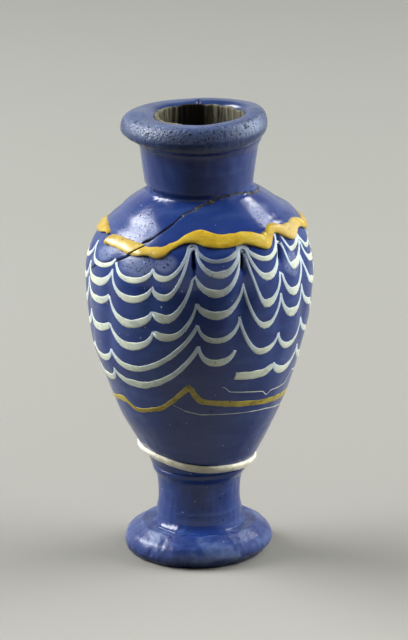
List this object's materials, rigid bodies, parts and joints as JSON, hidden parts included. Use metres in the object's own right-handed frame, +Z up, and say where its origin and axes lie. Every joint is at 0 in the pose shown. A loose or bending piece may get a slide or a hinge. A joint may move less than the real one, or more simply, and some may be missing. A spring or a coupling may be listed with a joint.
{
  "type": "footed glass vase",
  "caption": "Footed core-formed glass vase with a rolled rim, short neck, swelling body, stem and pad foot, wound with coloured threads combed into swags, broken at the shoulder and mended.",
  "frame": {"origin": "centre of the foot's flat resting face", "axes": "+Z up along the vase's axis; -Y is the side where the break shows from shoulder to neck; +X is to its right"},
  "size_m": [0.0498, 0.0498, 0.1],
  "materials": {
    "blue_glass": "opaque cobalt-blue core-formed glass, glossy with fine pits",
    "yellow_glass": "opaque ochre-yellow glass thread, slightly weathered",
    "white_glass": "opaque greenish-white glass thread",
    "core_residue": "dry sandy brown-grey crust"
  },
  "bodies": {
    "root": {"neck_sherd": "blue_glass", "body_sherd": "blue_glass", "rim_coil": "blue_glass", "stem": "blue_glass", "foot_pad": "blue_glass", "core_residue": "core_residue", "shoulder_thread_start": "yellow_glass", "shoulder_thread_end": "yellow_glass", "shoulder_thread_body": "yellow_glass", "white_thread_1_neck": "white_glass", "white_thread_1_body": "white_glass", "white_thread_2": "white_glass", "white_thread_3": "white_glass", "white_thread_4": "white_glass", "white_thread_5": "white_glass", "white_thread_6": "white_glass", "lower_thread": "yellow_glass", "foot_thread": "white_glass"}
  },
  "joints": []
}
